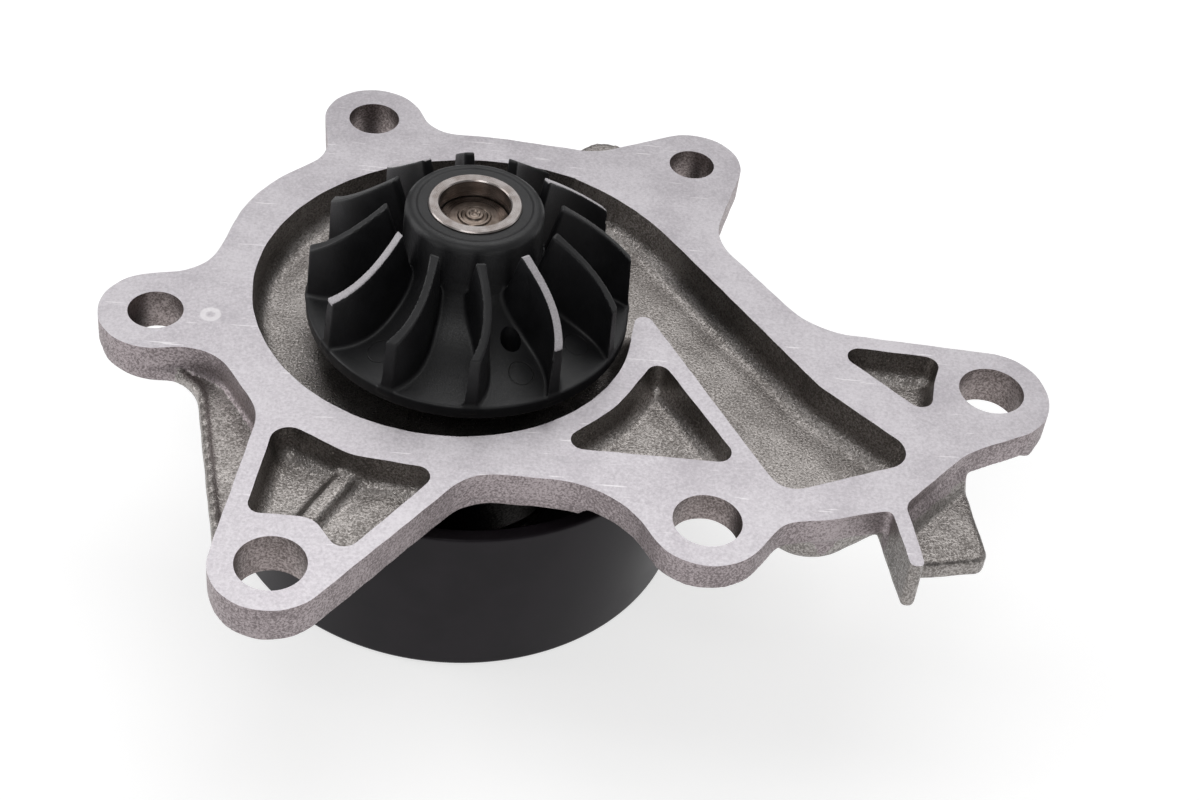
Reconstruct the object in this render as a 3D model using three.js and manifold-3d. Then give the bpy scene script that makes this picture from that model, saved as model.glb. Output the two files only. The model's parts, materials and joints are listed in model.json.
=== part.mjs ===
// Automotive coolant pump: a cast housing with a machined mounting face, a moulded impeller on a
// shaft that runs in a double-row ball bearing, a spring-loaded face seal and a flat-belt pulley.
// Millimetres. The pump axis is Z, with the impeller end up. Z = 0 is the outer end of the pulley
// and of the shaft, +X points to the outlet end of the housing, and the mounting face looks up.

import * as THREE from "three";
import { mergeVertices } from "three/addons/utils/BufferGeometryUtils.js";
import Module from "manifold-3d";

const wasm = await Module();
wasm.setup();

// ---------- driving dimensions ----------
const FACE = 50.4; // height of the machined mounting face over the pulley's outer end
const FIT = 0.1; // gap between pieces that are pressed or seated on each other
const SEGMENTS = 24; // facets round every small turned piece
const RIM_SEGMENTS = 40; // facets round the pulley and the impeller
const SLIVER = 0.05; // edges shorter than this are closed up

// Housing heights, as depths below the mounting face.
const FLANGE_DEPTH = 7.8;
const THIN_DEPTH = 5.8; // the flange's thinner side, round bolt hole d
const CAVITY_DEPTH = 8;
const BACK_DEPTH = 12.4; // outside of the volute's back wall
const FIN_DEPTH = 10.6;
const SHELF_TOP = 5.2; // step in the flange's edge between holes b and e
const POCKET_DEPTH = 6;

// Bolt holes through the flange: centre and diameter. Clearance for M8 (a, b, c) and M10 (d, e, f).
const BOLT_HOLES = {
  a: [-21.6, 54.7, 10],
  b: [-56, -8.5, 10],
  c: [42.8, 48.1, 9],
  d: [43.2, -51.3, 12],
  e: [-28.6, -68.1, 12],
  f: [96.7, -13, 12],
};

// Volute: the cavity's wall is a spiral that widens clockwise from the tongue.
const SPIRAL_START_R = 31.5;
const SPIRAL_GROWTH = 16.2 / 360; // mm of radius for each degree
const SPIRAL_FROM = 12;
const SPIRAL_TO = 296;
const SPIRAL_STEP = 4;
const SPIRAL_NIP = 1.5; // how much closer the wall comes to the impeller at the tongue
const SPIRAL_NIP_FADE = 34; // degrees

// Bearing tower and its bores.
const TOWER_R = 20.5;
const TOWER_END = 9.8;
const RIB_WIDTH = 4;
const RIB_REACH = 39;
const RIB_ANGLES = [45, 135, 225, 315];
const WEEP_R = 1.5;
const WEEP_RISE = 1.8; // weep hole centre over the bearing

// Shaft bearing.
const SHAFT_R = 7.95;
const SHAFT_TIP_R = 6.35; // the stepped-down end that carries the impeller
const SHAFT_STEP = FACE + 3.2;
const SHAFT_TOP = FACE + 21.3;
const RING_R = 15;
const RING_BORE_R = 12.9;
const RING_LENGTH = 24;
const RING_TOP = TOWER_END + RING_LENGTH;
const BALL_R = 2.9;
const GROOVE_R = 3.2;
const BALL_PITCH_R = 10.7;
const BALLS_PER_ROW = 8;
const ROW_INSET = 6.5;
const ROWS = { pulley_side: TOWER_END + ROW_INSET, impeller_side: RING_TOP - ROW_INSET };
const CAGE_INNER_R = 9.7;
const CAGE_OUTER_R = 11.7;
const CAGE_HALF_WIDTH = 3.7;
const SEAL_RING_R = 13.5;
const SEAL_RING_WIDTH = 1.3;
const SLINGER_R = 12.4;

// Face seal between the housing and the impeller.
const SEAL_SEAT = FACE - 13;
const SEAL_CASE_R = 15.2;
const CASE_BORE_R = 9.4;
const CASE_FLANGE_R = 18;
const CASE_WALL = 0.8;
const CAVITY_FLOOR = FACE - CAVITY_DEPTH;
const CARBON_BORE_R = 8.5;
const CARBON_R = 11.4;
const CARBON_BOTTOM = FACE - 5.2;
const CARBON_TOP = FACE - 1.9;
const RETAINER_R = 14.2;
const RETAINER_TOP = FACE - 3.1;
const SPRING_R = 13.3;
const SPRING_WIRE_R = 0.5;
const SPRING_TURNS = 3.5;
const MATING_BORE_R = 8.3;
const MATING_R = 12.4;
const MATING_BOTTOM = FACE - 1.6;
const MATING_TOP = FACE + 2.5;
const CUP_R = 13.5;

// Impeller.
const IMPELLER_R = 29.7;
const DISC_BOTTOM = FACE - 1.2;
const DISC_TOP = FACE + 1.5;
const HUB_R = 12.5;
const HUB_TOP = FACE + 23.4;
const BUSH_R = 8.4;
const BUSH_TOP = FACE + 23.6;
const BUSH_BOTTOM = FACE + 3.7;
const BLADES = 12;
const BLADE_PHASE = 4; // azimuth of the first blade's outer end, in degrees
const BLADE_THICKNESS = 1.6;
const BLADE_OUTER_R = 29.4;
const BLADE_OUTER_TOP_R = 29.1;
const BLADE_OUTER_TOP = FACE + 12;
const BLADE_INNER_R = 15.6;
const BLADE_INNER_TOP = FACE + 23;
const BLADE_ROOT_R = 12.9; // a blade's inner edge slopes in to the hub
const BLADE_ROOT_TOP = FACE + 13;
const BLADE_SWEEP = 2.2; // azimuth gained by a blade from its outer to its inner end, in degrees
const BLADE_BOW = 16; // four times the azimuth by which a blade bows out halfway, in degrees
const BALANCE_HOLE_R = 1.9;
const BALANCE_HOLE_AT_R = 17.8;
const BALANCE_HOLE_AZIMUTH = -63;

// Pulley and its hub.
const PULLEY_R = 44.5;
const PULLEY_WALL = 2.8;
const PULLEY_WIDTH = 33.8;
const WEB_THICKNESS = 3;
const HUB_SLEEVE_R = 14;
const HUB_COLLAR_R = 19;
const HUB_COLLAR_THICKNESS = 2.4;
const WEB_HOLE_R = 6;
const WEB_HOLE_AT_R = 29;

// ---------- materials ----------
function material(color, roughness, metalness) {
  return new THREE.MeshStandardMaterial({ color, roughness, metalness });
}
const castAluminium = material(0x9c9891, 0.6, 0.9);
const bearingSteel = material(0xb4b2b0, 0.3, 1);
const turnedSteel = material(0xa39a94, 0.35, 1);
const stampedSteel = material(0x9a9a9c, 0.4, 1);
const blackPlastic = material(0x17171a, 0.5, 0);
const blackRubber = material(0x141414, 0.8, 0);
const carbon = material(0x2a2a2c, 0.55, 0.1);
const ceramic = material(0x4a4a50, 0.3, 0);
const coatedSteel = material(0x19161a, 0.35, 0.6);
const nylon = material(0x5a4a30, 0.6, 0);

// ---------- solids ----------
// A manifold solid from a three.js geometry, with its faces turned outwards.
function solid(geometry, weld = 1e-4) {
  const bare = geometry.clone();
  bare.deleteAttribute("normal");
  bare.deleteAttribute("uv");
  const merged = mergeVertices(bare, weld);
  const index = merged.index.array;
  const faces = [];
  for (let i = 0; i < index.length; i += 3) {
    const [a, b, c] = [index[i], index[i + 1], index[i + 2]];
    if (a !== b && b !== c && c !== a) faces.push(a, b, c);
  }
  const build = (triVerts) =>
    new wasm.Manifold(
      new wasm.Mesh({ numProp: 3, vertProperties: merged.attributes.position.array, triVerts }),
    );
  const made = build(new Uint32Array(faces));
  return made.volume() > 0 ? made : build(new Uint32Array(faces.reverse()));
}

function geometryOf(body) {
  const { numProp, vertProperties, triVerts } = body.getMesh();
  const position = new Float32Array((vertProperties.length / numProp) * 3);
  for (let i = 0; i * numProp < vertProperties.length; i++)
    position.set(vertProperties.subarray(i * numProp, i * numProp + 3), i * 3);
  const geometry = new THREE.BufferGeometry();
  geometry.setAttribute("position", new THREE.BufferAttribute(position, 3));
  geometry.setIndex(new THREE.BufferAttribute(new Uint32Array(triVerts), 1));
  geometry.computeVertexNormals();
  return geometry;
}

// The same solid without the slivers that curved walls leave where they cross.
function welded(body) {
  return solid(geometryOf(body), SLIVER);
}

function piece(name, body, finish) {
  const mesh = new THREE.Mesh(geometryOf(body), finish);
  mesh.name = name;
  return mesh;
}

// A flat shape pushed up from z0 to z1.
function prism(shape, z0, z1, curveSegments = 3) {
  const geometry = new THREE.ExtrudeGeometry(shape, {
    depth: z1 - z0,
    bevelEnabled: false,
    curveSegments,
  });
  return solid(geometry.translate(0, 0, z0));
}

function cylinder(x, y, radius, z0, z1, facets = 20) {
  const geometry = new THREE.CylinderGeometry(radius, radius, z1 - z0, facets);
  return solid(geometry.rotateX(Math.PI / 2).translate(x, y, (z0 + z1) / 2));
}

function box([x0, y0, z0], [x1, y1, z1]) {
  const geometry = new THREE.BoxGeometry(x1 - x0, y1 - y0, z1 - z0);
  return solid(geometry.translate((x0 + x1) / 2, (y0 + y1) / 2, (z0 + z1) / 2));
}

// A solid turned about Z from a closed profile of [radius, z] points.
function turned(profile, segments = SEGMENTS) {
  const points = [...profile, profile[0]].map(([r, z]) => new THREE.Vector2(r, z));
  return solid(new THREE.LatheGeometry(points, segments).rotateX(Math.PI / 2));
}

// A plain ring of rectangular section.
function ring(innerR, outerR, z0, z1) {
  return turned([
    [innerR, z0],
    [outerR, z0],
    [outerR, z1],
    [innerR, z1],
  ]);
}

// Points along a round groove or fillet of a turned profile.
function arc(r, z, radius, fromDeg, toDeg, steps = 6) {
  return Array.from({ length: steps + 1 }, (_, i) => {
    const angle = THREE.MathUtils.degToRad(fromDeg + ((toDeg - fromDeg) * i) / steps);
    return [r + radius * Math.cos(angle), z + radius * Math.sin(angle)];
  });
}

// A closed outline, anticlockwise, that runs round circles [x, y, radius] with straight tangents
// between them. A negative radius is a hollow: the outline passes it on its other side.
function outlineRound(circles) {
  const headings = circles.map(([x, y, r], i) => {
    const [nextX, nextY, nextR] = circles[(i + 1) % circles.length];
    const distance = Math.hypot(nextX - x, nextY - y);
    return Math.atan2(nextY - y, nextX - x) + Math.asin((r - nextR) / distance);
  });
  const shape = new THREE.Shape();
  circles.forEach(([x, y, r], i) => {
    const side = r > 0 ? -Math.PI / 2 : Math.PI / 2;
    const arriving = headings[(i + circles.length - 1) % circles.length] + side;
    shape.absarc(x, y, Math.abs(r), arriving, headings[i] + side, r < 0);
  });
  shape.closePath();
  return shape;
}

// A closed polygon whose corners [x, y, radius] are rounded.
function roundedPolygon(corners) {
  const shape = new THREE.Shape();
  corners.forEach(([x, y, radius], i) => {
    const corner = new THREE.Vector2(x, y);
    const [before, after] = [corners.at(i - 1), corners[(i + 1) % corners.length]].map(
      ([nearX, nearY]) => new THREE.Vector2(nearX, nearY).sub(corner).normalize(),
    );
    const half = Math.acos(THREE.MathUtils.clamp(before.dot(after), -1, 1)) / 2;
    const start = corner.clone().addScaledVector(before, radius / Math.tan(half));
    const end = corner.clone().addScaledVector(after, radius / Math.tan(half));
    const middle = before.clone().add(after).normalize();
    const centre = corner.clone().addScaledVector(middle, radius / Math.sin(half));
    const angleOf = (p) => Math.atan2(p.y - centre.y, p.x - centre.x);
    shape.absarc(centre.x, centre.y, radius, angleOf(start), angleOf(end), before.cross(after) > 0);
  });
  shape.closePath();
  return shape;
}

// ---------- housing ----------
// The flange's edge goes round its six bolt bosses and the hollows between them.
const FLANGE_EDGE = [
  [-21.6, 54.7, 9.8],
  [-38.2, 44.4, -8.1],
  [-13.2, 12, 32.6],
  [-57, 12.5, -10.4],
  [-56, -8.5, 10.3],
  [-49.6, -28.1, -10.2],
  [-45.4, -35.3, -10.5],
  [-28.6, -68.1, 10.3],
  [7.6, -54.1, -10.1],
  [16.1, -63.2, -19],
  [43.2, -51.3, 10.5],
  [59.8, -55.7, -5.7],
  [73.6, -40.4, 5.6],
  [104, -47.6, -22],
  [96, -14.4, 11.2],
  [96.7, -12.8, 10.2],
  [73.3, 15.6, -16.3],
  [60.2, 27.4, -12.6],
  [42.8, 48.1, 9.9],
  [21.4, 61.6, -11.8],
  [0, 0, 51.7],
  [-4.5, 59.3, -7.7],
];

// Outlet channel, leading from the spiral to the housing's lower right.
const CHANNEL = [
  [16.6, 41.7, 1],
  [14, -9, 2],
  [29.8, -8.9, 0.3],
  [31.9, 3.7, 1.7],
  [56.5, -43.5, 4.6],
  [82.6, -32.4, 4.4],
  [64.6, -15.2, 12],
  [30.9, 34.1, 50],
];

const POCKET_BY_E = [
  [-31.3, -34.3, 3.2],
  [-34.2, -57.1, 2.4],
  [-23, -57.1, 5],
  [-17.4, -65.2, 2.6],
  [-2, -43.9, 2.6],
  [-17.8, -41.9, 8],
];
const POCKET_BY_TONGUE = [
  [35.3, -10.8, 2.2],
  [27.6, -25.2, 26],
  [16.2, -36.2, 2.4],
  [49.8, -37, 2.6],
];
const POCKET_BY_F = [
  [66.6, -3.6, 2.4],
  [84.6, -21.4, 2.4],
  [86.2, -12, 7],
  [88.2, -5.1, 2.6],
];

function volute(depth) {
  const spiral = new THREE.Shape();
  for (let turn = SPIRAL_FROM; turn <= SPIRAL_TO; turn += SPIRAL_STEP) {
    const nip = SPIRAL_NIP * Math.exp(-turn / SPIRAL_NIP_FADE);
    const radius = SPIRAL_START_R + SPIRAL_GROWTH * turn - nip;
    const angle = THREE.MathUtils.degToRad(-turn);
    const point = [radius * Math.cos(angle), radius * Math.sin(angle)];
    if (turn === SPIRAL_FROM) spiral.moveTo(...point);
    else spiral.lineTo(...point);
  }
  const top = FACE + 1;
  const channel = prism(roundedPolygon(CHANNEL), FACE - depth, top);
  return prism(spiral, FACE - depth, top).add(channel);
}

function housing() {
  const bottom = FACE - FLANGE_DEPTH;
  const thinArea = roundedPolygon([
    [22, -42, 1],
    [30, -70, 1],
    [112, -40, 1],
    [112, -22, 1],
    [88, -22, 8],
    [70, -40, 4],
  ]);
  const fPad = cylinder(96.7, -13, 9.6, bottom, FACE - 1);
  let body = prism(outlineRound(FLANGE_EDGE), bottom, FACE);
  body = body.subtract(prism(thinArea, bottom - 1, FACE - THIN_DEPTH)).add(fPad);

  // Lower layer of the flange that shows as a shelf between holes b and e.
  const shelf = outlineRound([
    [-54, -10, 8.5],
    [-53.2, -27.4, -8.6],
    [-31.4, -60, 7.6],
    [-28, -30, 9],
  ]);
  body = body.add(prism(shelf, bottom, FACE - SHELF_TOP));

  // Back of the volute and of its outlet channel.
  const back = outlineRound([
    [0, 4.5, 44],
    [38, -56, -18],
    [62.5, -38.8, 9],
    [71.5, -29.5, 11.5],
  ]);
  body = body.add(prism(back, FACE - BACK_DEPTH, FACE - 1, 5));
  for (const pocket of [POCKET_BY_E, POCKET_BY_F]) {
    const floor = new THREE.Shape(pocket.map(([x, y]) => new THREE.Vector2(x, y)));
    body = body.add(prism(floor, FACE - FLANGE_DEPTH - 1.2, FACE - 1));
  }
  body = body.add(cylinder(26.2, 55.4, 6.3, FACE - 20, FACE - 7.6));
  body = body.add(box([20, 40, FACE - 18], [30, 56, FACE - 7.6]));

  // Fin that hangs from the edge, and the tab beside it.
  const fin = roundedPolygon([
    [74, -38, 1],
    [77.5, -58.4, 1],
    [80, -58.4, 1],
    [76.7, -36, 1],
  ]);
  const tab = roundedPolygon([
    [77, -36, 1],
    [78.4, -52, 1],
    [93.6, -49, 2.4],
    [90.4, -30, 1],
  ]);
  body = body.add(prism(fin, FACE - FIN_DEPTH, FACE));
  body = body.add(prism(tab, FACE - 11, FACE - 7));
  const tabRoot = roundedPolygon([
    [77, -43.5, 1],
    [80.4, -43.8, 1],
    [90.4, -33, 1],
    [88.4, -27, 1],
    [77, -33, 1],
  ]);
  body = body.add(prism(tabRoot, FACE - 11, FACE - 4));

  // Tower for the bearing, with its ribs.
  const tower = cylinder(0, 0, TOWER_R, TOWER_END, FACE - CAVITY_DEPTH - 1, SEGMENTS);
  body = body.add(tower);
  for (const angle of RIB_ANGLES) {
    const rib = new THREE.Shape([
      new THREE.Vector2(TOWER_R - 2, 18),
      new THREE.Vector2(RIB_REACH, FACE - BACK_DEPTH - 5.5),
      new THREE.Vector2(RIB_REACH, FACE - BACK_DEPTH + 1),
      new THREE.Vector2(TOWER_R - 2, FACE - BACK_DEPTH + 1),
    ]);
    const upright = new THREE.ExtrudeGeometry(rib, { depth: RIB_WIDTH, bevelEnabled: false })
      .translate(0, 0, -RIB_WIDTH / 2)
      .rotateX(Math.PI / 2)
      .rotateZ(THREE.MathUtils.degToRad(angle));
    body = body.add(solid(upright));
  }

  body = body.subtract(volute(CAVITY_DEPTH));
  for (const pocket of [POCKET_BY_E, POCKET_BY_TONGUE, POCKET_BY_F])
    body = body.subtract(prism(roundedPolygon(pocket), FACE - POCKET_DEPTH, FACE + 1));
  for (const [radius, z0, z1] of [
    [RING_R + FIT, TOWER_END - 1, RING_TOP],
    [RING_BORE_R + 0.4, RING_TOP - 1, SEAL_SEAT + 1],
    [SEAL_CASE_R + FIT, SEAL_SEAT, FACE],
  ])
    body = body.subtract(cylinder(0, 0, radius, z0, z1, SEGMENTS));
  for (const [x, y, diameter] of Object.values(BOLT_HOLES))
    body = body.subtract(cylinder(x, y, diameter / 2, FACE - 25, FACE + 1, 24));
  const weep = new THREE.CylinderGeometry(WEEP_R, WEEP_R, 2 * TOWER_R + 24, 16);
  return welded(body.subtract(solid(weep.translate(0, 0, RING_TOP + WEEP_RISE))));
}

// ---------- bearing ----------
// A quarter-round ball groove cut into a straight wall at the given radius, bottom to top.
function groove(z, wallR) {
  const half = Math.acos((wallR - BALL_PITCH_R) / GROOVE_R);
  const halfDeg = THREE.MathUtils.radToDeg(half);
  return wallR > BALL_PITCH_R
    ? arc(BALL_PITCH_R, z, GROOVE_R, -halfDeg, halfDeg, 3)
    : arc(BALL_PITCH_R, z, GROOVE_R, 360 - halfDeg, halfDeg, 3);
}

function bearingOuterRing() {
  const [low, high] = [TOWER_END, RING_TOP];
  return turned([
    [RING_R, low],
    [RING_R, high],
    [SEAL_RING_R + FIT, high],
    [SEAL_RING_R + FIT, high - SEAL_RING_WIDTH - FIT],
    [RING_BORE_R, high - SEAL_RING_WIDTH - FIT],
    ...groove(ROWS.impeller_side, RING_BORE_R).reverse(),
    ...groove(ROWS.pulley_side, RING_BORE_R).reverse(),
    [RING_BORE_R, low + SEAL_RING_WIDTH + FIT],
    [SEAL_RING_R + FIT, low + SEAL_RING_WIDTH + FIT],
    [SEAL_RING_R + FIT, low],
  ]);
}

function bearingSeal(z) {
  return ring(SHAFT_R + 0.15, SEAL_RING_R, z, z + SEAL_RING_WIDTH);
}

function ballCage(z) {
  let cage = ring(CAGE_INNER_R, CAGE_OUTER_R, z - CAGE_HALF_WIDTH, z + CAGE_HALF_WIDTH);
  for (let i = 0; i < BALLS_PER_ROW; i++)
    cage = cage.subtract(solid(ballGeometry(BALL_R + 0.2, z, i)));
  return cage;
}

function ballGeometry(radius, z, i) {
  const angle = (2 * Math.PI * i) / BALLS_PER_ROW;
  return new THREE.SphereGeometry(radius, 8, 6)
    .rotateX(Math.PI / 2)
    .rotateZ(angle)
    .translate(BALL_PITCH_R * Math.cos(angle), BALL_PITCH_R * Math.sin(angle), z);
}

// The shaft is the bearing's inner race, with a ball groove for each row.
function shaft() {
  return turned([
    [0, 0],
    [SHAFT_R - 0.4, 0],
    [SHAFT_R, 0.4],
    ...groove(ROWS.pulley_side, SHAFT_R),
    ...groove(ROWS.impeller_side, SHAFT_R),
    [SHAFT_R, SHAFT_STEP],
    [SHAFT_TIP_R, SHAFT_STEP],
    [SHAFT_TIP_R, SHAFT_TOP - 1.5],
    [SHAFT_TIP_R - 0.4, SHAFT_TOP - 1.1],
    [2.9, SHAFT_TOP - 0.4],
    [2.6, SHAFT_TOP],
    [0, SHAFT_TOP],
  ]);
}

function slinger() {
  return turned([
    [SHAFT_R + FIT, RING_TOP + 0.7],
    [SHAFT_R + 1.6, RING_TOP + 0.7],
    [SLINGER_R, RING_TOP + 1.8],
    [SLINGER_R, RING_TOP + 2.6],
    [SHAFT_R + FIT, RING_TOP + 1.7],
  ]);
}

// ---------- face seal ----------
function sealCase() {
  return turned([
    [CASE_BORE_R, SEAL_SEAT + FIT],
    [SEAL_CASE_R, SEAL_SEAT + FIT],
    [SEAL_CASE_R, CAVITY_FLOOR + FIT],
    [CASE_FLANGE_R, CAVITY_FLOOR + FIT],
    [CASE_FLANGE_R, CAVITY_FLOOR + FIT + CASE_WALL],
    [SEAL_CASE_R - CASE_WALL, CAVITY_FLOOR + FIT + CASE_WALL],
    [SEAL_CASE_R - CASE_WALL, SEAL_SEAT + FIT + CASE_WALL],
    [CASE_BORE_R, SEAL_SEAT + FIT + CASE_WALL],
  ]);
}

// Rubber bellows between the case and the carbon ring, with one fold.
function sealBellows() {
  const low = SEAL_SEAT + CASE_WALL + 2 * FIT;
  const outside = [12.4, 11.2];
  const inside = [9.2, 10.2];
  return turned([
    [inside[0], low],
    [outside[0], low],
    [outside[0], low + 1.4],
    [outside[1], low + 2.2],
    [outside[0], low + 3.4],
    [outside[0], low + 4.4],
    [outside[1], CARBON_BOTTOM - FIT],
    [inside[0], CARBON_BOTTOM - FIT],
    [inside[0], low + 4.4],
    [inside[1], low + 3.4],
    [inside[0], low + 2.2],
  ]);
}

function sealSpring() {
  const low = SEAL_SEAT + CASE_WALL + 2 * FIT + SPRING_WIRE_R;
  const high = RETAINER_TOP - CASE_WALL - FIT - SPRING_WIRE_R;
  const steps = 14 * SPRING_TURNS;
  const path = Array.from({ length: steps + 1 }, (_, i) => {
    const angle = (2 * Math.PI * SPRING_TURNS * i) / steps;
    const height = low + ((high - low) * i) / steps;
    return new THREE.Vector3(SPRING_R * Math.cos(angle), SPRING_R * Math.sin(angle), height);
  });
  const wire = new THREE.Shape();
  wire.absarc(0, 0, SPRING_WIRE_R, 0, 2 * Math.PI);
  return solid(
    new THREE.ExtrudeGeometry(wire, {
      steps,
      curveSegments: 3,
      bevelEnabled: false,
      extrudePath: new THREE.CatmullRomCurve3(path),
    }),
  );
}

function sealRetainer() {
  return ring(CARBON_R + FIT, RETAINER_R, RETAINER_TOP - CASE_WALL, RETAINER_TOP);
}

function matingRingCup() {
  return turned([
    [MATING_BORE_R, MATING_TOP + FIT],
    [MATING_R + FIT, MATING_TOP + FIT],
    [MATING_R + FIT, MATING_BOTTOM + 0.8],
    [CUP_R, MATING_BOTTOM + 0.8],
    [CUP_R, MATING_TOP + 0.9],
    [MATING_BORE_R, MATING_TOP + 0.9],
  ]);
}

// ---------- impeller ----------
// Azimuth of a blade's curved centre line at a radius, in degrees from its outer end.
function bladeAzimuth(radius) {
  const share = (BLADE_OUTER_R - radius) / (BLADE_OUTER_R - BLADE_INNER_R);
  return BLADE_SWEEP * share + BLADE_BOW * share * (1 - share);
}

function bladePlan() {
  const steps = 6;
  const sides = [[], []];
  for (let i = 0; i <= steps; i++) {
    const radius = BLADE_ROOT_R + ((BLADE_OUTER_R - BLADE_ROOT_R) * i) / steps;
    const azimuth = THREE.MathUtils.degToRad(bladeAzimuth(radius));
    const half = BLADE_THICKNESS / 2 / radius;
    for (const [side, sign] of [[sides[0], -1], [sides[1], 1]]) {
      const angle = azimuth + sign * half;
      side.push(new THREE.Vector2(radius * Math.cos(angle), radius * Math.sin(angle)));
    }
  }
  return new THREE.Shape([...sides[0], ...sides[1].reverse()]);
}

function impeller() {
  const pocketR = CUP_R + 2 * FIT;
  let body = turned([
    [BUSH_R + FIT, BUSH_BOTTOM],
    [pocketR, BUSH_BOTTOM],
    [pocketR, DISC_BOTTOM + 0.6],
    [pocketR + 3.3, DISC_BOTTOM],
    [IMPELLER_R, DISC_BOTTOM],
    [IMPELLER_R, DISC_TOP],
    [26, FACE + 2.1],
    [22, FACE + 3.4],
    [18, FACE + 5.6],
    [15, FACE + 8.3],
    [HUB_R + 0.4, FACE + 11.5],
    [HUB_R, HUB_TOP - 1.7],
    ...arc(HUB_R - 1.7, HUB_TOP - 1.7, 1.7, 15, 90, 3),
    [BUSH_R + FIT, HUB_TOP],
  ], RIM_SEGMENTS);
  const envelope = turned([
    [BLADE_ROOT_R - 0.4, FACE + 8],
    [16, DISC_TOP - 1],
    [BLADE_OUTER_R + 0.05, DISC_TOP - 1],
    [BLADE_OUTER_TOP_R, BLADE_OUTER_TOP],
    [BLADE_INNER_R, BLADE_INNER_TOP],
    [BLADE_ROOT_R - 0.4, BLADE_ROOT_TOP],
  ], RIM_SEGMENTS);
  const blade = prism(bladePlan(), DISC_TOP - 1, BLADE_INNER_TOP + 1).intersect(envelope);
  for (let i = 0; i < BLADES; i++) {
    const azimuth = THREE.MathUtils.degToRad(BLADE_PHASE + (360 * i) / BLADES);
    body = body.add(solid(geometryOf(blade).rotateZ(azimuth)));
  }
  const hole = THREE.MathUtils.degToRad(BALANCE_HOLE_AZIMUTH);
  const [x, y] = [BALANCE_HOLE_AT_R * Math.cos(hole), BALANCE_HOLE_AT_R * Math.sin(hole)];
  return body.subtract(cylinder(x, y, BALANCE_HOLE_R, DISC_BOTTOM - 1, FACE + 9, 16));
}

function impellerBush() {
  return turned([
    [SHAFT_TIP_R + FIT, BUSH_BOTTOM],
    [BUSH_R, BUSH_BOTTOM],
    [BUSH_R, BUSH_TOP - 0.3],
    [BUSH_R - 0.3, BUSH_TOP],
    [SHAFT_TIP_R + 0.6, BUSH_TOP],
    [SHAFT_TIP_R + FIT, BUSH_TOP - 0.5],
  ]);
}

// ---------- pulley ----------
function pulley() {
  const corner = 1.2;
  const innerR = PULLEY_R - PULLEY_WALL;
  let body = turned([
    [HUB_SLEEVE_R + FIT, 0],
    ...arc(PULLEY_R - corner, corner, corner, -90, 0, 3),
    [PULLEY_R, PULLEY_WIDTH - 0.6],
    [PULLEY_R - 0.6, PULLEY_WIDTH],
    [innerR + 0.6, PULLEY_WIDTH],
    [innerR, PULLEY_WIDTH - 0.6],
    ...arc(innerR - 2, WEB_THICKNESS + 2, 2, 0, -90, 2),
    [HUB_SLEEVE_R + FIT, WEB_THICKNESS],
  ], RIM_SEGMENTS);
  for (const angle of RIB_ANGLES) {
    const direction = THREE.MathUtils.degToRad(angle);
    const [x, y] = [WEB_HOLE_AT_R * Math.cos(direction), WEB_HOLE_AT_R * Math.sin(direction)];
    body = body.subtract(cylinder(x, y, WEB_HOLE_R, -1, WEB_THICKNESS + 1));
  }
  return body;
}

function pulleyHub() {
  const flange = WEB_THICKNESS + FIT;
  return turned([
    [SHAFT_R + FIT, 0],
    [HUB_SLEEVE_R, 0],
    [HUB_SLEEVE_R, flange],
    [HUB_COLLAR_R, flange],
    [HUB_COLLAR_R, flange + HUB_COLLAR_THICKNESS],
    [HUB_SLEEVE_R, flange + HUB_COLLAR_THICKNESS],
    [HUB_SLEEVE_R, TOWER_END - 0.5],
    [SHAFT_R + FIT, TOWER_END - 0.5],
  ]);
}

// ---------- the assembly ----------
const housingGroup = new THREE.Group();
housingGroup.add(
  piece("housing", housing(), castAluminium),
  piece("bearing_outer_ring", bearingOuterRing(), bearingSteel),
  piece("bearing_seal_pulley_side", bearingSeal(TOWER_END), blackRubber),
  piece("bearing_seal_impeller_side", bearingSeal(RING_TOP - SEAL_RING_WIDTH), blackRubber),
  piece("seal_case", sealCase(), stampedSteel),
  piece("seal_bellows", sealBellows(), blackRubber),
  piece("seal_spring", sealSpring(), bearingSteel),
  piece("seal_retainer", sealRetainer(), stampedSteel),
  piece("seal_carbon_ring", ring(CARBON_BORE_R, CARBON_R, CARBON_BOTTOM, CARBON_TOP), carbon),
);

const cageGroup = new THREE.Group();
for (const [side, z] of Object.entries(ROWS)) {
  cageGroup.add(piece("ball_cage_" + side, ballCage(z), nylon));
  for (let i = 0; i < BALLS_PER_ROW; i++) {
    const ball = solid(ballGeometry(BALL_R, z, i));
    cageGroup.add(piece("ball_" + side + "_" + (i + 1), ball, bearingSteel));
  }
}

const rotorGroup = new THREE.Group();
rotorGroup.add(
  piece("shaft", shaft(), turnedSteel),
  piece("slinger", slinger(), blackRubber),
  piece("seal_mating_ring", ring(MATING_BORE_R, MATING_R, MATING_BOTTOM, MATING_TOP), ceramic),
  piece("seal_mating_ring_cup", matingRingCup(), blackRubber),
  piece("impeller_bush", impellerBush(), turnedSteel),
  piece("impeller", impeller(), blackPlastic),
  piece("pulley_hub", pulleyHub(), turnedSteel),
  piece("pulley", pulley(), coatedSteel),
);

const waterPump = new THREE.Group();
waterPump.add(housingGroup, cageGroup, rotorGroup);

export default waterPump;
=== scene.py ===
"""Looks of the water pump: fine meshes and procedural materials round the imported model.

Shapes are worked out in millimetres in the model's own frame (pump axis = Z, impeller up) and
written to meshes in metres. Cast and moulded pieces are fields of signed distance, which give
them true fillets and draft; what is machined on them is then cut out with exact solids.
"""

import json
import math

import bpy
import numpy as np
from mathutils import Matrix, Vector


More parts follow.
